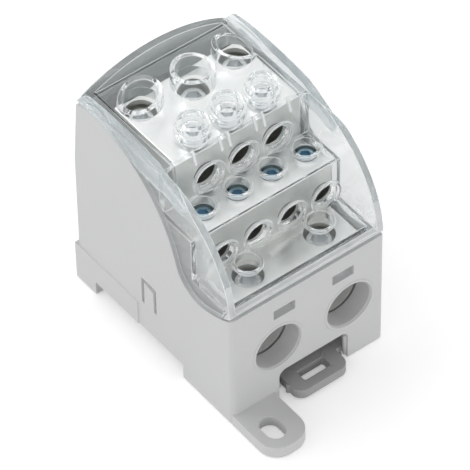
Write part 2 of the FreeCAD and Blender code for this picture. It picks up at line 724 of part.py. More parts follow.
def make_latch():
    body = new_body("rail_latch")
    tab = S.tab_span / 2
    top = S.latch_bottom + S.latch_thickness
    tip = depth(S.rail_front) + S.nose_reach
    plate = Outline(core - tab, tip).line(core - tab, front - S.tab_reach + S.tab_round)
    plate.arc(core - tab + S.tab_round, front - S.tab_reach, S.tab_round, 1)
    plate.line(core + tab - S.tab_round, front - S.tab_reach)
    plate.arc(core + tab, front - S.tab_reach + S.tab_round, S.tab_round, 1)
    plate.line(core + tab, tip)
    add(body, "Z", S.latch_bottom, top, plate)
    # Side flanges that ride on the guide lips
    flange = S.channel_span / 2 - S.slide_gap
    add(body, "Z", S.guide_top, top,
        box(core - flange, depth(S.flange_front), core + flange, depth(S.flange_back)))
    slot = S.slot_span / 2
    cut(body, "Z", S.latch_bottom - S.seam, top + S.seam,
        round_box(core - slot, depth(S.slot_front), core + slot,
                  depth(S.slot_front + S.slot_depth), S.screw_chamfer))
    for sign in (-1, 1):
        add(body, "Z", S.latch_bottom, top, Circle(core + tab * sign, front, S.nub_size / 2))
    # The tip passes under the rail and is cut to a ramp; its top keeps clear of the rail
    ramp = Outline(tip + S.seam, S.latch_bottom - S.seam)
    ramp.line(tip + S.seam, S.rail_depth - S.rail_flange)
    ramp.line(tip, S.rail_depth - S.rail_flange - S.nose_edge)
    ramp.line(tip - S.nose_ramp, S.latch_bottom - S.seam)
    cut(body, "X", core - tab - S.seam, core + tab + S.seam, ramp)
    cut(body, "X", core - tab - S.seam, core + tab + S.seam,
        box(depth(S.rail_front) - S.nose_ramp * 2, S.rail_depth - S.rail_flange,
            tip + S.seam, top + S.seam))
    return body


# Clear cover

def envelope(outline):
    """Upper outline of the cover from its front lip to its back."""
    outline.arc(depth(S.nose_depth), S.nose_height, S.nose_radius, -1)
    outline.line(depth(S.crown_depth), S.crown_height + S.seam)
    return outline.line(depth(S.cover_back), S.crown_height + S.seam)


def above_arch():
    """Everything above the arched top and its rounded shoulders, looking from the front."""
    side = S.crown_height - S.arch_drop
    sky = S.crown_height * 2
    outline = Outline(-half - S.seam, sky).line(-half - S.seam, side - S.shoulder_round)
    outline.line(-half, side - S.shoulder_round)
    outline.arc(-half + S.shoulder_inset, side + S.shoulder_lift, S.shoulder_curve, -1)
    outline.arc(half - S.shoulder_inset, side + S.shoulder_lift, S.arch_radius, -1)
    outline.arc(half, side - S.shoulder_round, S.shoulder_curve, -1)
    return outline.line(half + S.seam, side - S.shoulder_round).line(half + S.seam, sky)


def make_cover():
    body = new_body("clear_cover")
    inner = half - S.side_wall
    inside = inner - S.seam
    shell = Outline(depth(S.lip_front), S.front_height + S.seam)
    envelope(shell)
    shell.line(depth(S.cover_back), S.hump_height - S.shoulder_drop + S.seam * 2)
    shell.line(depth(S.hump_depth), S.hump_height + S.seam)
    shell.arc(depth(S.rise_depth), S.rise_height + S.seam, S.hump_radius, 1)
    shell.arc(depth(S.dip_depth), S.dip_height + S.seam, S.rise_radius, -1)
    shell.arc(depth(S.lip_front), S.front_height + S.seam, S.dip_radius, -1)
    add(body, "X", -half, half, shell)
    wall = depth(S.front_wall) + S.seam
    skirt = S.front_height - S.skirt
    rear = back - S.back_wall - S.seam
    rim = S.back_edge_top + S.seam
    core_shape = Outline(wall, skirt).line(wall, S.front_height + S.seam)
    core_shape.line(depth(S.lip_front) + S.seam, S.front_height + S.seam)
    core_shape.line(depth(S.nose_depth), S.nose_height)
    core_shape.line(depth(S.crown_depth), S.crown_height + S.seam)
    core_shape.line(depth(S.cover_back), S.crown_height + S.seam)
    core_shape.line(depth(S.cover_back), rim).line(rear, rim).line(rear, rim - S.skirt)
    core_shape.line(depth(S.crown_depth), rim - S.skirt).line(depth(S.crown_depth), skirt)
    add(body, "X", -inside, inside, core_shape)
    cut(body, "Y", front, back, above_arch())

    # Steps between the cheeks, then the platform
    sky = S.crown_height * 2
    steps = Outline(front - S.seam, S.tread_low - S.lip_drop)
    steps.line(depth(S.lip_depth), S.tread_low - S.lip_drop).line(depth(S.lip_depth), S.tread_low)
    steps.line(depth(S.riser_low), S.tread_low).line(depth(S.riser_low), S.tread_middle)
    steps.line(depth(S.riser_high), S.tread_middle).line(depth(S.riser_high), sky)
    steps.line(front - S.seam, sky)
    cut(body, "X", -inner, inner, steps)
    margin = half - S.valley_inset
    shelf = Outline(depth(S.riser_high) - S.seam, S.platform - S.lean_height)
    shelf.line(depth(S.riser_high), S.platform - S.lean_height)
    shelf.line(depth(S.riser_high + S.riser_lean), S.platform)
    shelf.line(depth(S.platform_back), S.platform).line(depth(S.platform_back), sky)
    shelf.line(depth(S.riser_high) - S.seam, sky)
    cut(body, "X", -margin, margin, shelf)

    # Hollow below the steps
    thin = S.cover_wall
    low = skirt - S.seam
    hollow = Outline(wall + thin, low).line(wall + thin, S.tread_low - thin)
    hollow.line(depth(S.riser_low) + thin, S.tread_low - thin)
    hollow.line(depth(S.riser_low) + thin, S.tread_middle - thin)
    hollow.line(depth(S.riser_high) + thin, S.tread_middle - thin)
    hollow.line(depth(S.riser_high) + thin, S.roof).line(rear - thin, S.roof)
    hollow.line(rear - thin, low)
    cut(body, "X", -inner, inner, hollow)

    # Screwdriver tubes and bosses
    tubes = [(x, depth(S.input_middle_depth if index == 1 else S.input_screw_depth))
             for index, x in enumerate(inputs)]
    add(body, "Z", S.roof, sky / 2 + S.crown_height / 8,
        *[Circle(x, y, S.input_access + S.tube_wall) for x, y in tubes])
    cut(body, "Y", depth(S.crown_depth) - S.input_access * 2, depth(S.platform_back),
        above_arch())
    cut(body, "Z", S.roof - S.seam, sky, *[Circle(x, y, S.input_access) for x, y in tubes])
    place = depth(S.upper_screw_depth)
    add(body, "Z", S.roof, S.wide_boss_top,
        *[Circle(x, place, S.upper_chamber + S.wide_boss_wall) for x in uppers])
    add(body, "Z", S.wide_boss_top - S.seam, S.upper_boss_top,
        *[Circle(x, place, S.upper_boss) for x in uppers])
    cut(body, "Z", S.roof - S.seam, S.chamber_top,
        *[Circle(x, place, S.upper_chamber) for x in uppers])
    cut(body, "Z", S.roof, sky, *[Circle(x, place, S.upper_access) for x in uppers])
    for places, screw_depth, access, top in (
            (middles, S.middle_screw_depth, S.middle_access, S.tread_middle),
            (outlets, S.outlet_screw_depth, S.outlet_access, S.tread_low)):
        add(body, "Z", top - S.collar_height, top + S.collar_height,
            *[Circle(x, depth(screw_depth), access + S.collar_wall) for x in places])
        cut(body, "Z", top - S.cover_wall * 2, top + S.cover_wall,
            *[Circle(x, depth(screw_depth), access) for x in places])

    # Nozzles in front of the two upper rows
    for places, height, outer, riser, bore in (
            (middles, S.middle_height, S.middle_nozzle, S.riser_low, S.middle_radius),
            (uppers, S.upper_height, S.upper_nozzle, S.riser_high, S.upper_radius)):
        mouth = depth(riser - S.funnel_reach)
        add(body, "Y", mouth, depth(riser) + thin, *[Circle(x, height, outer) for x in places])
        cut(body, "Y", mouth - S.seam, depth(riser) + thin + S.seam,
            *[Circle(x, height, bore + S.nozzle_gap) for x in places])
        cut(body, "Y", mouth - S.seam, mouth + S.funnel_flare,
            *[Circle(x, height, bore + S.funnel_flare) for x in places])

    # Snap hooks on the front skirt
    for x in hooks:
        span = S.hook_span / 2
        add(body, "Y", wall, wall + thin,
            box(x - span, S.window_bottom + S.seam, x + span, S.front_height))
        nose = Outline(wall + thin / 2, S.window_bottom + S.seam)
        nose.line(wall + thin / 2, S.window_bottom + S.hook_height)
        nose.line(wall - S.hook_nose, S.window_bottom + S.hook_height)
        nose.line(wall - S.hook_nose, S.window_bottom + S.hook_height - S.hook_flat)
        nose.line(wall - S.seam / 2, S.window_bottom + S.seam)
        add(body, "X", x - span, x + span, nose)
    return body


make_housing()
make_block()
make_screws()
make_plate()
make_latch()
make_cover()

doc.recompute()
for item in doc.Objects:
    if "Invalid" in item.State or "Error" in item.State:
        raise ValueError(f"{item.Name} did not build")

os.makedirs("parts", exist_ok=True)
for item in doc.Objects:
    if item.TypeId == "PartDesign::Body":
        shape = item.Shape
        if shape.isNull() or not shape.isValid() or len(shape.Solids) != 1:
            raise ValueError(f"{item.Label} is not one valid solid: {len(shape.Solids)}")
        shape.exportStep(f"parts/{item.Label}.step")
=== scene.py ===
# %% [markdown]
# A power distribution block for a 35 mm rail, dressed for a photograph.
# The solid model already has the real sizes, so this script loads it and leaves it where it is.
# It gives each piece its finish, adds what is too fine for the solids, and sets up the studio.

# %% Load the solid model
import json
import math

import bpy
from mathutils import Matrix, Vector


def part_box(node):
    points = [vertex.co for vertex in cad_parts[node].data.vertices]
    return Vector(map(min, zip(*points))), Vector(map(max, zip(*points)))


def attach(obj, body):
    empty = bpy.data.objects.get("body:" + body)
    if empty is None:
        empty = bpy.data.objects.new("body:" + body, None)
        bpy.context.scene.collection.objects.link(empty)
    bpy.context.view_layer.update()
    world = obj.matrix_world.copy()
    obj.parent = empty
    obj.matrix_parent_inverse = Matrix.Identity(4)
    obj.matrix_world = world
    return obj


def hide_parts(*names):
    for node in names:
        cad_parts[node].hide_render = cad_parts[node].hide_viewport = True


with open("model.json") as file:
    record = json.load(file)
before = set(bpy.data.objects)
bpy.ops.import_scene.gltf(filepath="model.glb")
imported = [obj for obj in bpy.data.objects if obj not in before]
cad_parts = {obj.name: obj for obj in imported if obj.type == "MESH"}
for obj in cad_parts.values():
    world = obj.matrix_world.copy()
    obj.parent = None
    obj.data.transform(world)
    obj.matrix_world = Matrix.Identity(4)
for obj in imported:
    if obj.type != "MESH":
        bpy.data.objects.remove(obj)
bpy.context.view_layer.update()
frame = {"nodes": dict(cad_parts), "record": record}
nodes = frame["nodes"]

# %% [markdown]
# Shader maths reads best as plain Python. A wire is one output of a node, and sums and products
# of wires add the Math nodes that they need. A finish holds one material and makes its nodes.

# %% A small language for materials
class Wire:
    """One output of a shader node, which can be used in sums and products."""

    def __init__(self, finish, socket):
        self.finish = finish
        self.socket = socket

    def _with(self, operation, first, second):
        return self.finish.node("Math", {"operation": operation}, {0: first, 1: second})

    def __add__(self, other):
        return self._with("ADD", self, other)

    def __sub__(self, other):
        return self._with("SUBTRACT", self, other)

    def __rsub__(self, other):
        return self._with("SUBTRACT", other, self)

    def __mul__(self, other):
        return self._with("MULTIPLY", self, other)

    def __pow__(self, other):
        return self._with("POWER", self, other)

    __radd__ = __add__
    __rmul__ = __mul__


class Finish:
    """A material made of shader nodes."""

    def __init__(self, name):
        self.material = bpy.data.materials.new(name)
        self.material.use_nodes = True
        self.tree = self.material.node_tree
        self.shader = self.tree.nodes["Principled BSDF"]
        self.place = self.node("TexCoord", out="Object")

    def node(self, kind, settings=(), inputs=(), out=0):
        """Add a node: its settings first, then the values or wires of its sockets."""
        made = self.tree.nodes.new("ShaderNode" + kind)
        for key, value in dict(settings).items():
            setattr(made, key, value)
        for key, value in dict(inputs).items():
            self.plug(made.inputs[key], value)
        return Wire(self, made.outputs[out])

    def plug(self, socket, value):
        if isinstance(value, Wire):
            self.tree.links.new(value.socket, socket)
        else:
            socket.default_value = value

    def set(self, **values):
        """Set sockets of the main shader; Base_Color stands for Base Color."""
        for key, value in values.items():
            self.plug(self.shader.inputs[key.replace("_", " ")], value)
        return self

    def noise(self, scale, detail=2.0, stretch=(1, 1, 1)):
        """A soft pattern; scale counts its features in a metre."""
        place = self.node("Mapping", {}, {"Vector": self.place, "Scale": stretch})
        return self.node("TexNoise", {}, {"Vector": place, "Scale": scale, "Detail": detail})

    def blend(self, factor, first, second):
        return self.node("Mix", {"data_type": "RGBA"},
                         {0: factor, 6: (*first, 1), 7: (*second, 1)}, out=2)

    def bump(self, height, strength, distance):
        """A normal for relief up to distance high, in metres."""
        return self.node("Bump", {}, {"Height": height, "Strength": strength,
                                      "Distance": distance})


print("finishes are built from wires")

# %% [markdown]
# The housing is moulded in light grey plastic. Spark-eroded moulds leave a fine, even grain.
# A faint, wide change of tone keeps large faces from looking painted.

# %% Grey moulded plastic
def grey_plastic(name, colour):
    finish = Finish(name)
    grain_depth = 0.00003
    fine = finish.noise(9000.0, 3.0)
    wide = finish.noise(60.0, 2.0)
    pale = tuple(min(channel * 1.03, 1.0) for channel in colour)
    deep = tuple(channel * 0.97 for channel in colour)
    tone = finish.blend(wide * 0.7 + fine * 0.3, deep, pale)
    finish.set(Base_Color=tone, Roughness=fine * 0.10 + 0.46, IOR=1.46,
               Normal=finish.bump(fine, 0.25, grain_depth))
    return finish.material


housing_grey = grey_plastic("housing_grey", (0.60, 0.605, 0.605))
# The latch is moulded in the housing's grey. Its darker grey here is painted shade, for the shade
# on its top under the housing.
latch_painted_shade_grey = grey_plastic("latch_painted_shade_grey", (0.36, 0.36, 0.36))
print("grey plastics:", housing_grey.name, latch_painted_shade_grey.name)

# %% [markdown]
# The cover is clear polycarbonate. A full glass shader turns its many thin walls into dark bands,
# because light is trapped in them. So the plastic bends light only a little, and a clear coat
# gives it the gloss back. Where a wall is seen edge on it turns pale blue-grey, as thick plastic
# does. A share of haze stands for what thick walls scatter, and a streaky noise keeps it lively.
# Shadow rays pass straight through, so the metal below stays bright.

# %% Clear plastic
def clear_plastic(name, haze, tint=(0.80, 0.84, 0.85)):
    """Haze is the share that thick plastic scatters, and tint is the colour of that share."""
    finish = Finish(name)
    ripple = finish.noise(60.0, 1.5)
    finish.set(Base_Color=(0.985, 0.993, 0.995, 1), Roughness=0.02, IOR=1.16,
               Normal=finish.bump(ripple, 0.10, 0.0004))
    finish.set(Transmission_Weight=1.0, Coat_Weight=0.7, Coat_Roughness=0.03, Coat_IOR=1.5)
    edge = finish.node("LayerWeight", {}, {"Blend": 0.5}, out="Facing")
    veil = finish.node("BsdfTransparent", {}, {"Color": (0.66, 0.72, 0.745, 1)})
    hazed = finish.node("MixShader", {}, {0: (edge ** 5) * 0.75,
                                          1: Wire(finish, finish.shader.outputs[0]), 2: veil})
    cloud = finish.node("BsdfDiffuse", {}, {"Color": (*tint, 1)})
    streak = finish.noise(110.0, 3.0, (1.0, 0.35, 1.0))
    milky = finish.node("MixShader", {}, {0: (streak * 0.8 + 0.6) * haze, 1: hazed, 2: cloud})
    through = finish.node("BsdfTransparent", {}, {"Color": (0.95, 0.97, 0.975, 1)})
    shadow = finish.node("LightPath", out="Is Shadow Ray")
    mixed = finish.node("MixShader", {}, {0: shadow, 1: milky, 2: through})
    finish.plug(finish.tree.nodes["Material Output"].inputs["Surface"], mixed)
    return finish.material


cover_clear = clear_plastic("cover_clear", 0.04)
# Pale haze for the cover's rounded edges and ribs: a painted highlight for the bright lines along
# them.
cover_edge_highlight = clear_plastic("cover_edge_highlight", 0.66, (0.97, 0.985, 0.99))
cover_cheek = clear_plastic("cover_cheek", 0.30, (0.74, 0.77, 0.77))
cover_rim = clear_plastic("cover_rim", 0.26, (0.66, 0.72, 0.74))
# On the wall behind the platform the haze is partly the scatter of thick plastic and partly
# painted light, which lightens the shaded grey wall seen through it.
cover_back = clear_plastic("cover_back", 0.42, (0.80, 0.85, 0.85))
cover_lip = clear_plastic("cover_lip", 0.72, (0.74, 0.76, 0.76))
print("clear plastics:", [m.name for m in (cover_clear, cover_edge_highlight, cover_cheek, cover_rim,
                                           cover_back, cover_lip)])

# %% [markdown]
# The block is milled metal with a bright tin coat: fine cutter lines, soft stains, and a
# broad shine. The screws are zinc plated. Those of the middle row have a blue coat.

# %% Metals
def plated_metal(name, colour, roughness, lines):
    """Lines says how the cutter's marks are squeezed along X, Y and Z."""
    finish = Finish(name)
    cutter = finish.noise(900.0, 2.0, lines)
    stain = finish.noise(140.0, 3.0)
    dull = tuple(channel * 0.88 for channel in colour)
    finish.set(Base_Color=finish.blend(stain ** 1.5, colour, dull), Metallic=1.0,
               Roughness=cutter * 0.12 + stain * 0.1 + roughness,
               Normal=finish.bump(cutter, 0.25, 0.00005))
    return finish.material


tin_bright = plated_metal("tin_bright", (0.98, 0.98, 0.965), 0.20, (0.25, 6, 6))
# Upright faces: a duller sawn finish, and a darker colour that is partly painted shade.
tin_sawn_and_shade = plated_metal("tin_sawn_and_shade", (0.80, 0.80, 0.765), 0.30, (0.25, 6, 6))
# Dark tin for the small bores: painted shade in the recesses.
tin_bore_painted_shade = plated_metal("tin_bore_painted_shade", (0.48, 0.48, 0.45), 0.28, (6, 0.5, 6))
tin_wide = plated_metal("tin_wide", (0.90, 0.90, 0.89), 0.55, (6, 0.5, 6))
zinc_steel = plated_metal("zinc_steel", (0.84, 0.86, 0.87), 0.18, (1, 1, 8))
zinc_blue = plated_metal("zinc_blue", (0.42, 0.59, 0.70), 0.18, (1, 1, 8))
print("metals:", [m.name for m in (tin_bright, tin_sawn_and_shade, tin_bore_painted_shade, tin_wide, zinc_steel,
                                   zinc_blue)])

# %% [markdown]
# Each solid gets the finish of its record slot. A solid is never moved or changed.

# %% Dress the solids
finishes = {"grey_housing": housing_grey, "grey_latch": latch_painted_shade_grey, "clear_plastic": cover_clear,
            "tinned_metal": tin_bright, "screw_steel": zinc_steel}
slots = {part["node"]: part["material_slot"] for part in frame["record"]["subparts"]}
for name, piece in nodes.items():
    if not piece.material_slots:
        piece.data.materials.append(None)
    for socket in piece.material_slots:
        socket.material = finishes[slots[name]]
print("dressed", len(nodes), "solids")

# %% [markdown]
# Every step of the modelling works on one piece at a time, so a helper lets go of everything
# else and takes that piece. Another adds a modifier and applies it at once. The last one gives a
# finished piece its shading, hides the solid it stands for and puts the piece in that solid's
# body.

# %% Helpers for modelling
body_of = {name: body for body, names in frame["record"]["behaviour"]["bodies"].items()
           for name in names}


def take(*pieces):
    """Select these pieces alone and make the first one active."""
    bpy.ops.object.select_all(action="DESELECT")
    for piece in pieces:
        piece.select_set(True)
    bpy.context.view_layer.objects.active = pieces[0]


def modify(piece, kind, **settings):
    """Add one modifier, set it and apply it."""
    take(piece)
    bpy.ops.object.modifier_add(type=kind)
    modifier = piece.modifiers[-1]
    for key, value in settings.items():
        setattr(modifier, key, value)
    bpy.ops.object.modifier_apply(modifier=modifier.name)


def settle(piece, node, angle=35):
    """Finish a piece that stands for a solid: shading and body, and the solid itself is hidden.

    Weighted normals keep the large flat faces flat, so only the narrow rounds catch the light.
    """
    take(piece)
    bpy.ops.object.shade_smooth_by_angle(angle=math.radians(angle))
    modify(piece, "WEIGHTED_NORMAL", keep_sharp=True)
    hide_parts(node)
    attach(piece, body_of[node])


print("helpers ready for", len(body_of), "nodes")

# %% [markdown]
# No moulded or milled edge is perfectly sharp. A thin bright line along each edge tells the eye
# how big a thing is, so the large pieces are copied and get a small round along every edge. The
# rounds can have a finish of their own. On the clear cover that finish is a pale haze: a painted
# highlight that draws the pale lines along its edges.

# %% Soft edges on the large pieces
sharp_from = math.radians(32)
edge_index = 1


def soften(node, name, width, material, edge):
    """Copy a solid's mesh and round its edges. Loop slide is off, so thin triangles stay thin."""
    mesh = nodes[node].data.copy()
    mesh.materials.clear()
    mesh.materials.append(material)
    mesh.materials.append(edge)
    piece = bpy.data.objects.new(name, mesh)
    bpy.context.scene.collection.objects.link(piece)
    take(piece)
    bpy.ops.mesh.customdata_custom_splitnormals_clear()
    bpy.ops.object.mode_set(mode="EDIT")
    bpy.ops.mesh.select_all(action="SELECT")
    bpy.ops.mesh.remove_doubles(threshold=0.000002)
    bpy.ops.object.mode_set(mode="OBJECT")
    modify(piece, "BEVEL", width=width, segments=2, limit_method="ANGLE",
           angle_limit=sharp_from, use_clamp_overlap=False,
           miter_outer="MITER_ARC", loop_slide=False, material=edge_index)
    settle(piece, node)
    return piece


# The cover's rounds get the pale finish, a painted highlight.
cover = soften("clear_cover", "cover_soft", 0.00018, cover_clear, cover_edge_highlight)
housing = soften("base_housing", "housing_soft", 0.00022, housing_grey, housing_grey)
latch = soften("rail_latch", "latch_soft", 0.00025, latch_painted_shade_grey, latch_painted_shade_grey)
block = soften("terminal_block", "block_soft", 0.00015, tin_bright, tin_bright)
for piece in (cover, housing, latch, block):
    print(piece.name, "has", len(piece.data.polygons), "faces")

# %% [markdown]
# One piece can carry more than one finish. The block's treads are freshly milled and bright. Its
# upright faces are sawn and duller, and their darker colour is partly painted shade. Little light
# reaches its bores: the small ones are painted dark, as painted shade, and the wide ones get a
# rougher tin. On the cover, the two cheeks, their outer rims, the front lip and the wall behind
# the platform are thicker than the rest and look hazy. On the wall behind the platform the haze is
# also painted light, which lightens the shaded grey wall seen through it. The cover's narrow face
# over the housing's curved edge is painted opaque grey, as painted shade for the dark line there.

# %% Finishes of the metal block
def near_any(value, places):
    return any(abs(value - place) < 0.0003 for place in places)


def second_finish(piece, material, chosen):
    """Give the faces that chosen() picks another material; the rounded edges keep theirs."""
    piece.data.materials.append(material)
    index = len(piece.data.materials) - 1
    count = 0
    for face in piece.data.polygons:
        if face.material_index != edge_index and chosen(face):
            face.material_index = index
            count += 1
    print(piece.name, material.name, "on", count, "faces")


block_low, block_high = (Vector(corner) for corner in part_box("terminal_block"))
treads = (0.0350, 0.0514, 0.0646)
middle_face, upper_face = -0.0150, -0.0026
risers = (block_low.y, middle_face, upper_face, block_high.y)
wide_bores_top = 0.0262


def is_tread(face):
    return face.normal.z > 0.9 and near_any(face.center.z, treads)


def is_upright(face):
    across = abs(face.normal.x) > 0.99 and near_any(face.center.x, (block_low.x, block_high.x))
    along = abs(face.normal.y) > 0.99 and near_any(face.center.y, risers)
    return across or along


def in_wide_bore(face):
    return (not is_upright(face) and face.center.z < wide_bores_top
            and face.center.y < middle_face)


def in_small_bore(face):
    return not is_tread(face) and not is_upright(face) and face.center.z > wide_bores_top


# Sawn finish with painted shade on the upright faces.
second_finish(block, tin_sawn_and_shade, is_upright)
second_finish(block, tin_wide, in_wide_bore)
# Painted shade inside the small bores.
second_finish(block, tin_bore_painted_shade, in_small_bore)

# %% Finishes of the clear cover
cheek_inside, cheek_outside, rim_inside = 0.0218, 0.0225, 0.0222
cheek_foot, seam_foot = 0.0335, 0.0330
platform_back, back_foot = 0.0270, 0.0600
lip_back, lip_foot = -0.0300, 0.0375
# Opaque darker grey on the cover's clear faces over the housing's edge: painted shade for the
# shadowed gap there.
seam_painted_shade = grey_plastic("seam_painted_shade", (0.40, 0.41, 0.415))


def in_cheek(face):
    return (abs(face.normal.x) > 0.6 and face.center.z > cheek_foot
            and cheek_inside < abs(face.center.x) < cheek_outside)


def in_rim(face):
    return (abs(face.normal.x) < 0.6 and face.normal.z > -0.1
            and abs(face.center.x) > rim_inside)


def in_back(face):
    return (abs(face.normal.y) > 0.7 and face.center.y > platform_back
            and face.center.z > back_foot)


def in_lip(face):
    return face.center.y < lip_back and face.center.z > lip_foot


def in_shaded_seam(face):
    return (face.normal.z < -0.15 and abs(face.normal.x) < 0.3 and face.center.z > seam_foot
            and abs(face.center.x) > rim_inside)


second_finish(cover, cover_cheek, in_cheek)
second_finish(cover, cover_rim, in_rim)
# Haze and painted light on the wall behind the platform.
second_finish(cover, cover_back, in_back)
second_finish(cover, cover_lip, in_lip)
# Painted shade on the cover's narrow faces over the housing's edge.
second_finish(cover, seam_painted_shade, in_shaded_seam)

# %% [markdown]
# The cheeks end in a thick rounded rim that rises a little above the platform and ends at the
# back in a rounded nose. A rim starts as a bar beside the platform. It is cut into short pieces,
# whose upper and lower points are then set to the heights seen from the side, and its long edges
# are rounded. Below, it follows the hump of the grey wall with a small gap.

# %% Rounded rims of the cheeks
hump_radius, hump_y, hump_z = 0.0351, 0.0235, 0.0313
rim_x, rim_width, rim_split, rim_height, rim_round = 0.02292, 0.00214, 0.0650, 0.0040, 0.0009
rim_gap = 0.0003
rim_foot_front, rim_foot_back, rim_foot_step = 0.0605, 0.0617, -0.0100
rim_heights = [(0.0287, 0.0664), (0.0279, 0.0676), (0.0265, 0.0684), (0.0245, 0.0688),
               (0.0195, 0.0693), (0.0135, 0.0694), (0.0075, 0.0693), (0.0025, 0.0689),
               (-0.0025, 0.0683), (-0.0055, 0.0671), (-0.0085, 0.0656), (-0.0115, 0.0641),
               (-0.0140, 0.0626)]


def wall_top(y):
    """Height of the grey side wall: its hump is a part of a circle."""
    return hump_z + math.sqrt(max(hump_radius ** 2 - (hump_y - y) ** 2, 0))


def cheek_rim(side):
    """Side is -1 for the left cheek and 1 for the right one."""
    bpy.ops.object.select_all(action="DESELECT")
    back_end, front_end = rim_heights[0][0], rim_heights[-1][0]
    middle = (front_end + back_end) / 2
    bpy.ops.mesh.primitive_cube_add(size=1, location=(side * rim_x, middle, rim_split))
    rim = bpy.context.object
    rim.scale = (rim_width, back_end - front_end, rim_height)
    take(rim)
    bpy.ops.object.transform_apply(location=True, rotation=True, scale=True)
    bpy.ops.object.mode_set(mode="EDIT")
    for y, height in rim_heights[1:-1]:
        bpy.ops.mesh.select_all(action="SELECT")
        bpy.ops.mesh.bisect(plane_co=(0, y, 0), plane_no=(0, 1, 0))
    bpy.ops.object.mode_set(mode="OBJECT")
    for vertex in rim.data.vertices:
        y, height = min(rim_heights, key=lambda pair: abs(pair[0] - vertex.co.y))
        if vertex.co.z > rim_split:
            vertex.co.z = height
        else:
            foot = rim_foot_back if y > rim_foot_step else rim_foot_front
            vertex.co.z = max(wall_top(y) + rim_gap, foot)
    modify(rim, "BEVEL", width=rim_round, segments=5, limit_method="ANGLE",
           angle_limit=math.radians(50))
    bpy.ops.object.shade_smooth_by_angle(angle=math.radians(40))
    rim.data.materials.append(cover_rim)
    return rim


rims = [cheek_rim(side) for side in (-1, 1)]
take(cover, *rims)
bpy.ops.object.join()
print("cheek rims rise to", max(height for y, height in rim_heights) * 1000, "mm")

# %% [markdown]
# The back of the housing leans in near its top, and its highest points lean the most.

# %% Lean of the housing's back
def lean_back(piece, lean, start, rise, inner_face):
    """Points behind inner_face move forward by lean for every rise above start."""
    count = 0
    for vertex in piece.data.vertices:
        if vertex.co.y > inner_face and vertex.co.z > start:
            vertex.co.y -= lean * (vertex.co.z - start) / rise
            count += 1
    return count


print("points that lean in:", lean_back(housing, 0.0020, 0.0560, 0.0088, 0.0300))

# %% [markdown]
# The grey seen through the clear top is the housing's back wall, which rises there in an arch
# that stays a little below the cover's. It starts as a flat bar, is cut into strips, and the
# upper points of each strip are lifted to the arch. It is moulded with the housing.

# %% Arched top of the back wall
arch_top, arch_radius, wall_span, strip = 0.0708, 0.0446, 0.0434, 0.0022


def arch_height(x):
    return arch_top - arch_radius + math.sqrt(arch_radius ** 2 - x ** 2)


def arched_wall():
    bpy.ops.object.select_all(action="DESELECT")
    near_side, far_side, foot, middle = 0.0294, 0.0303, 0.0600, 0.0610
    bpy.ops.mesh.primitive_cube_add(size=1, location=(0, (near_side + far_side) / 2, middle))
    wall = bpy.context.object
    wall.scale = (wall_span, far_side - near_side, (middle - foot) * 2)
    take(wall)
    bpy.ops.object.transform_apply(location=True, rotation=True, scale=True)
    bpy.ops.object.mode_set(mode="EDIT")
    for step in range(-9, 10):
        bpy.ops.mesh.select_all(action="SELECT")
        bpy.ops.mesh.bisect(plane_co=(step * strip, 0, 0), plane_no=(1, 0, 0))
    bpy.ops.object.mode_set(mode="OBJECT")
    for vertex in wall.data.vertices:
        if vertex.co.z > middle:
            vertex.co.z = arch_height(vertex.co.x)
    modify(wall, "BEVEL", width=0.0002, segments=2, limit_method="ANGLE")
    bpy.ops.object.shade_smooth_by_angle(angle=math.radians(35))
    wall.data.materials.append(housing_grey)
    return wall


arch = arched_wall()
take(housing, arch)
bpy.ops.object.join()
print("back wall rises to", round(arch_height(0) * 1000, 1), "mm")

# %% [markdown]
# A thin raised ring is moulded round each of the two large openings in the front face. It is a
# torus, flattened against the face, and it is part of the housing.

# %% Rings round the front openings
row_middle, row_pitch = 0.0016, 0.0106
front_face, outlet_pitch, outlet_height = -0.0325, 0.0224, 0.0195


def front_ring(centre):
    radius, thickness, flattening = 0.00745, 0.00042, 0.5
    bpy.ops.object.select_all(action="DESELECT")
    bpy.ops.mesh.primitive_torus_add(location=centre, rotation=(math.pi / 2, 0, 0),
                                     major_radius=radius, minor_radius=thickness,
                                     major_segments=64, minor_segments=10)
    ring = bpy.context.object
    take(ring)
    bpy.ops.object.transform_apply(location=False, rotation=True, scale=True)
    ring.scale = (1, flattening, 1)
    bpy.ops.object.transform_apply(location=True, rotation=True, scale=True)
    bpy.ops.object.shade_smooth()
    ring.data.materials.append(housing_grey)
    return ring


rings = [front_ring((row_middle + side * outlet_pitch / 2, front_face, outlet_height))
         for side in (-1, 1)]
take(housing, *rings)
bpy.ops.object.join()
print("rings round the openings:", len(rings))

# %% [markdown]
# Thin ribs stiffen the cover under the platform's front edge, one on each side of the small
# tubes. A rib is a small block that leans as the strip does, with rounded edges. It is moulded
# with the cover, so the ribs are joined to it.

# %% Ribs under the platform's edge
rib_size, rib_y, rib_z = (0.0007, 0.0009, 0.0042), -0.00425, 0.06575
rib_offset = 0.0040
strip_depth, strip_height = 1.3, 3.4


def add_ribs(piece, centres, offset):
    """Join two ribs for each centre to the piece, offset to its left and right."""
    ribs = [piece]
    for centre in centres:
        for side in (-1, 1):
            bpy.ops.object.select_all(action="DESELECT")
            place = (centre + side * offset, rib_y, rib_z)
            bpy.ops.mesh.primitive_cube_add(size=1, location=place)
            rib = bpy.context.object
            rib.scale = rib_size
            rib.rotation_euler = (-math.atan2(strip_depth, strip_height), 0, 0)
            # The ribs take the pale edge finish, a painted highlight.
            rib.data.materials.append(cover_edge_highlight)
            take(rib)
            bpy.ops.object.transform_apply(location=True, rotation=True, scale=True)
            modify(rib, "BEVEL", width=0.0002, segments=2, limit_method="ANGLE")
            ribs.append(rib)
    take(*ribs)
    bpy.ops.object.join()
    return len(ribs) - 1


tube_places = [row_middle + step * row_pitch for step in (-1, 0, 1)]
print("ribs on the cover:", add_ribs(cover, tube_places, rib_offset))

# %% [markdown]
# A clamping screw has a thread and a hexagon socket. The thread is a small triangle, swept
# round the axis while it climbs by one pitch a turn. The core is turned with bevelled ends, and
# a hexagon is taken out of its top.

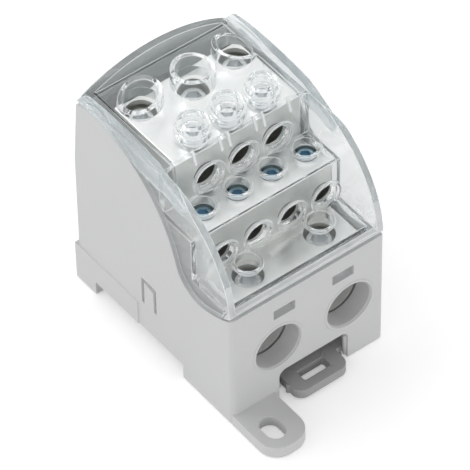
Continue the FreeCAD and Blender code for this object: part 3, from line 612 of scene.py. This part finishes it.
# %% Threaded clamping screws
def thread_ridge(root, crest, pitch, height):
    """A triangle swept round the X axis, then stood up along Z."""
    bpy.ops.object.select_all(action="DESELECT")
    bpy.ops.mesh.primitive_circle_add(vertices=3, radius=pitch * 0.5, location=(0, 0, 0))
    ridge = bpy.context.object
    depth = crest - root
    ridge.location = (0, root + depth * 0.33, 0)
    ridge.scale = (1, depth * 1.33 / pitch, 1)
    take(ridge)
    bpy.ops.object.transform_apply(location=True, rotation=True, scale=True)
    turns = max(int(height / pitch), 1)
    modify(ridge, "SCREW", axis="X", angle=math.tau, screw_offset=pitch, iterations=turns,
           steps=28, render_steps=28, use_merge_vertices=False)
    bpy.ops.object.mode_set(mode="EDIT")
    bpy.ops.mesh.select_all(action="SELECT")
    bpy.ops.mesh.remove_doubles(threshold=0.000001)
    bpy.ops.mesh.select_all(action="DESELECT")
    bpy.ops.mesh.select_non_manifold()
    bpy.ops.mesh.edge_face_add()
    bpy.ops.mesh.select_all(action="SELECT")
    bpy.ops.mesh.normals_make_consistent(inside=False)
    bpy.ops.object.mode_set(mode="OBJECT")
    ridge.rotation_euler = (0, -math.pi / 2, 0)
    bpy.ops.object.transform_apply(location=True, rotation=True, scale=True)
    return ridge


def screw_model(name, radius, length, pitch):
    """One screw on the Z axis with its tip at the origin."""
    root = radius - pitch * 0.55
    bpy.ops.object.select_all(action="DESELECT")
    bpy.ops.mesh.primitive_cylinder_add(vertices=32, radius=root, depth=length,
                                        location=(0, 0, length / 2))
    core = bpy.context.object
    core.name = name
    bpy.ops.object.transform_apply(location=True, rotation=True, scale=True)
    modify(core, "BEVEL", width=pitch * 0.3, segments=2, limit_method="ANGLE")
    bpy.ops.object.select_all(action="DESELECT")
    socket_depth = min(length * 0.55, radius * 0.95)
    bpy.ops.mesh.primitive_cylinder_add(vertices=6, radius=radius * 0.56, depth=socket_depth * 2,
                                        location=(0, 0, length))
    cutter = bpy.context.object
    modify(core, "BOOLEAN", operation="DIFFERENCE", solver="EXACT", object=cutter)
    bpy.data.objects.remove(cutter)
    ridge = thread_ridge(root - pitch * 0.05, radius, pitch, length - pitch)
    take(ridge)
    low = min(v.co.z for v in ridge.data.vertices)
    bpy.ops.transform.translate(value=(0, 0, pitch * 0.25 - low))
    bpy.ops.object.transform_apply(location=True, rotation=True, scale=True)
    take(core, ridge)
    bpy.ops.object.join()
    return core


def place_screws(label, names, pitch, material):
    """Model one screw to the first solid's size and put a copy in the place of each solid."""
    low, high = (Vector(corner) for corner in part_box(names[0]))
    model = screw_model(label, (high.x - low.x) / 2, high.z - low.z, pitch)
    for name in names:
        low, high = (Vector(corner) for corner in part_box(name))
        piece = bpy.data.objects.new(name + "_threaded", model.data.copy())
        bpy.context.scene.collection.objects.link(piece)
        take(piece)
        piece.location = ((low.x + high.x) / 2, (low.y + high.y) / 2, low.z)
        bpy.ops.object.transform_apply(location=True, rotation=True, scale=True)
        piece.data.materials.clear()
        piece.data.materials.append(material)
        settle(piece, name, 40)
    print(label, "has", len(model.data.polygons), "faces,", len(names), "of them")
    bpy.data.objects.remove(model)


place_screws("front_screw", ["front_clamp_screw_left", "front_clamp_screw_right"],
             0.00125, zinc_steel)
place_screws("middle_screw", [f"middle_clamp_screw_{n}" for n in (1, 2, 3, 4)],
             0.001, zinc_blue)
place_screws("upper_screw", [f"upper_clamp_screw_{n}" for n in (1, 2, 3)], 0.001, zinc_steel)
place_screws("input_screw", [f"input_clamp_screw_{side}" for side in ("left", "middle", "right")],
             0.00125, zinc_steel)

# %% [markdown]
# The studio is a light tent: a pale floor, a sky that is brightest near the horizon, and a soft
# lamp above and behind. So upright faces are as light as the top, or lighter. Floor and sky are
# plain white to the camera, to shiny pieces and through the clear cover.

# %% Floor, sky and lamp
def see_white(finish):
    """1 where a ray comes from the camera, a shiny surface or through clear plastic."""
    camera = finish.node("LightPath", out="Is Camera Ray")
    shiny = finish.node("LightPath", out="Is Glossy Ray")
    through = finish.node("LightPath", out="Is Transmission Ray")
    return finish.node("Math", {"operation": "MAXIMUM"}, {
        0: camera, 1: finish.node("Math", {"operation": "MAXIMUM"}, {0: shiny, 1: through})})


class Sky(Finish):
    """The world's nodes, made in the same way as a material's."""

    def __init__(self, name):
        self.material = bpy.data.worlds.new(name)
        self.material.use_nodes = True
        self.tree = self.material.node_tree
        self.shader = self.tree.nodes["Background"]
        self.place = self.node("TexCoord", out="Generated")


def make_sky(zenith, rise):
    """White light of strength zenith from above, which gains rise towards the horizon."""
    sky = Sky("studio_sky")
    height = sky.node("SeparateXYZ", {}, {0: sky.place}, out="Z")
    light = (1.0 - height) * rise + zenith
    white = see_white(sky)
    sky.set(Color=(1, 1, 1, 1), Strength=light * (1.0 - white) + white)
    return sky.material


def make_floor():
    bpy.ops.object.select_all(action="DESELECT")
    bpy.ops.mesh.primitive_plane_add(size=3.0, location=(0, 0, -0.0002))
    floor = bpy.context.object
    floor.name = "studio_floor"
    finish = Finish("floor_pale")
    finish.set(Base_Color=(0.93, 0.93, 0.93, 1), Roughness=0.9,
               Emission_Color=finish.blend(see_white(finish), (0, 0, 0), (0.34, 0.34, 0.34)),
               Emission_Strength=1.0)
    floor.data.materials.append(finish.material)


def soft_lamp(name, place, size, watts):
    """A square lamp that looks at the origin."""
    data = bpy.data.lights.new(name, "AREA")
    data.shape = "SQUARE"
    data.size = size
    data.energy = watts
    lamp = bpy.data.objects.new(name, data)
    bpy.context.scene.collection.objects.link(lamp)
    lamp.location = place
    lamp.rotation_mode = "QUATERNION"
    lamp.rotation_quaternion = (-Vector(place)).to_track_quat("-Z", "Y")


make_floor()
bpy.context.scene.world = make_sky(0.25, 1.35)
soft_lamp("lamp_behind", (-0.30, 0.45, 0.85), 0.6, 1.6)
print("studio: floor, sky and one lamp")

# %% [markdown]
# The camera stands where the photographer's did. Its direction was found from the edges that
# the photograph shows, with a long lens, so that parallel edges stay nearly parallel.

# %% Camera
def aim_camera(azimuth, elevation, roll, right_shift, up_shift, distance, target, lens):
    """Angles in degrees; the camera stands distance away from target, shifted in its own plane."""
    a, e, r = math.radians(azimuth), math.radians(elevation), math.radians(roll)
    back = Vector((math.sin(a) * math.cos(e), -math.cos(a) * math.cos(e), math.sin(e)))
    level = Vector((math.cos(a), math.sin(a), 0))
    upward = back.cross(level)
    right = level * math.cos(r) + upward * math.sin(r)
    up = upward * math.cos(r) - level * math.sin(r)
    data = bpy.data.cameras.new("photo_camera")
    data.sensor_width = 36.0
    data.lens = lens
    data.clip_start, data.clip_end = 0.05, 10.0
    camera = bpy.data.objects.new("photo_camera", data)
    bpy.context.scene.collection.objects.link(camera)
    place = Vector(target) + right * right_shift + up * up_shift + back * distance
    turn = Matrix((right, up, back)).transposed()
    camera.matrix_world = Matrix.Translation(place) @ turn.to_4x4()
    bpy.context.scene.camera = camera
    return camera


corner = (-0.024, -0.0325, 0.0)
camera = aim_camera(-37.106, 47.087, -1.021, 0.00044, 0.04738, 1.05617, corner, 326.0)
bpy.context.scene.view_settings.view_transform = "Standard"
print("camera at", [round(v, 3) for v in camera.location])
